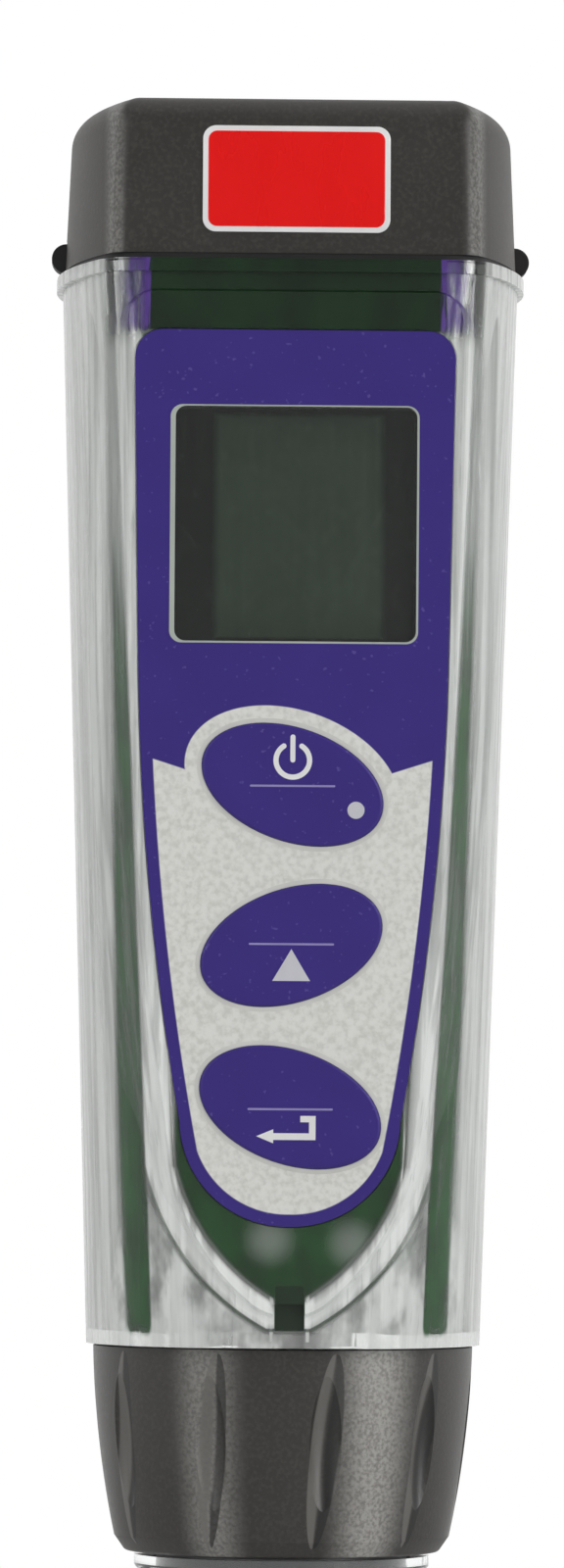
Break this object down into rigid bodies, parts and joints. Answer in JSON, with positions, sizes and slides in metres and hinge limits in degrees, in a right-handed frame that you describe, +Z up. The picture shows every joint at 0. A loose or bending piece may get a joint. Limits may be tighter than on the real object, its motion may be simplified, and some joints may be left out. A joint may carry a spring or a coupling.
{
  "type": "conductivity meter",
  "caption": "Waterproof pocket conductivity meter: clear tapered housing with keypad and display, pull-off battery cap, screw collar, plug-in probe and clear probe cap.",
  "frame": {"origin": "centre of the probe cap's flat base, where the closed meter stands", "axes": "+Z up the long axis to the battery cap, -Y out of the keypad, +X to the right as the keypad is read"},
  "size_m": [0.0406, 0.0398, 0.178],
  "materials": {
    "clear_plastic": "clear polycarbonate, polished",
    "window_plastic": "clear window pane",
    "grey_plastic": "dark warm grey, fine texture",
    "chassis_plastic": "dark green-black, satin",
    "black_rubber": "satin",
    "black_plastic": "satin",
    "steel": "bright",
    "cell_jacket": "shrink sleeve",
    "board_green": "solder mask",
    "white_plastic": "light guide",
    "display_glass": "display, off",
    "printed_film": "printed film, satin",
    "key_purple": "printed key, satin",
    "gold": "plated",
    "amber_film": "flexible circuit",
    "probe_plastic": "dark grey",
    "platinum_black": "porous black coating"
  },
  "bodies": {
    "housing": {"clear_body": "clear_plastic", "inner_chassis": "chassis_plastic", "cap_seal": "black_rubber", "lid_pin": "steel", "battery_cells": "cell_jacket", "cell_leaves": "steel", "main_board": "board_green", "board_screws": "steel", "board_chips": "black_plastic", "key_switches": "steel", "display_backlight": "white_plastic", "zebra_strips": "black_rubber", "display_glass": "display_glass", "display_frame": "black_plastic", "keypad_overlay": "printed_film", "window_pane": "window_plastic", "probe_socket": "black_plastic", "socket_contacts": "gold", "connector_board": "board_green", "flat_tail": "amber_film"},
    "cap": {"top_cap": "grey_plastic"},
    "lid": {"battery_lid": "black_plastic", "lid_contacts": "steel"},
    "power_button": {"key_power": "key_purple"},
    "up_button": {"key_up": "key_purple"},
    "enter_button": {"key_enter": "key_purple"},
    "probe": {"probe_body": "probe_plastic", "flange_gasket": "black_rubber", "plug_ring": "black_rubber", "cup_ring": "black_rubber", "electrode_plates": "platinum_black", "temperature_pin": "steel"},
    "locking_collar": {"collar": "grey_plastic"},
    "cup": {"probe_cap": "clear_plastic"}
  },
  "joints": [
    {"name": "cap_lift", "type": "slide", "parent": "housing", "child": "cap", "axis": [0, 0, 1], "range_m": [0, 0.042]},
    {"name": "lid_swing", "type": "hinge", "parent": "housing", "child": "lid", "pos_m": [0, 0.0139, 0.1696], "axis": [-1, 0, 0], "range_deg": [0, 100]},
    {"name": "power_press", "type": "slide", "parent": "housing", "child": "power_button", "axis": [0, 0.9997, 0.0249], "range_m": [0, 0.0004], "stiffness_N_per_m": 3000},
    {"name": "up_press", "type": "slide", "parent": "housing", "child": "up_button", "axis": [0, 0.9997, 0.0249], "range_m": [0, 0.0004], "stiffness_N_per_m": 3000},
    {"name": "enter_press", "type": "slide", "parent": "housing", "child": "enter_button", "axis": [0, 0.9997, 0.0249], "range_m": [0, 0.0004], "stiffness_N_per_m": 3000},
    {"name": "probe_release", "type": "slide", "parent": "housing", "child": "probe", "axis": [0, 0, -1], "range_m": [0, 0.0105]},
    {"name": "collar_turn", "type": "hinge", "parent": "probe", "child": "locking_collar", "pos_m": [0, 0, 0.065], "axis": [0, 0, -1], "range_deg": [0, 720]},
    {"name": "cup_pull", "type": "slide", "parent": "probe", "child": "cup", "axis": [0, 0, -1], "range_m": [0, 0.05]}
  ],
  "couplings": [
    {"joint": "lid_swing", "follows": "cap_lift", "rad_per_m": 41.551},
    {"joint": "collar_turn", "follows": "probe_release", "rad_per_m": 1196.8}
  ]
}
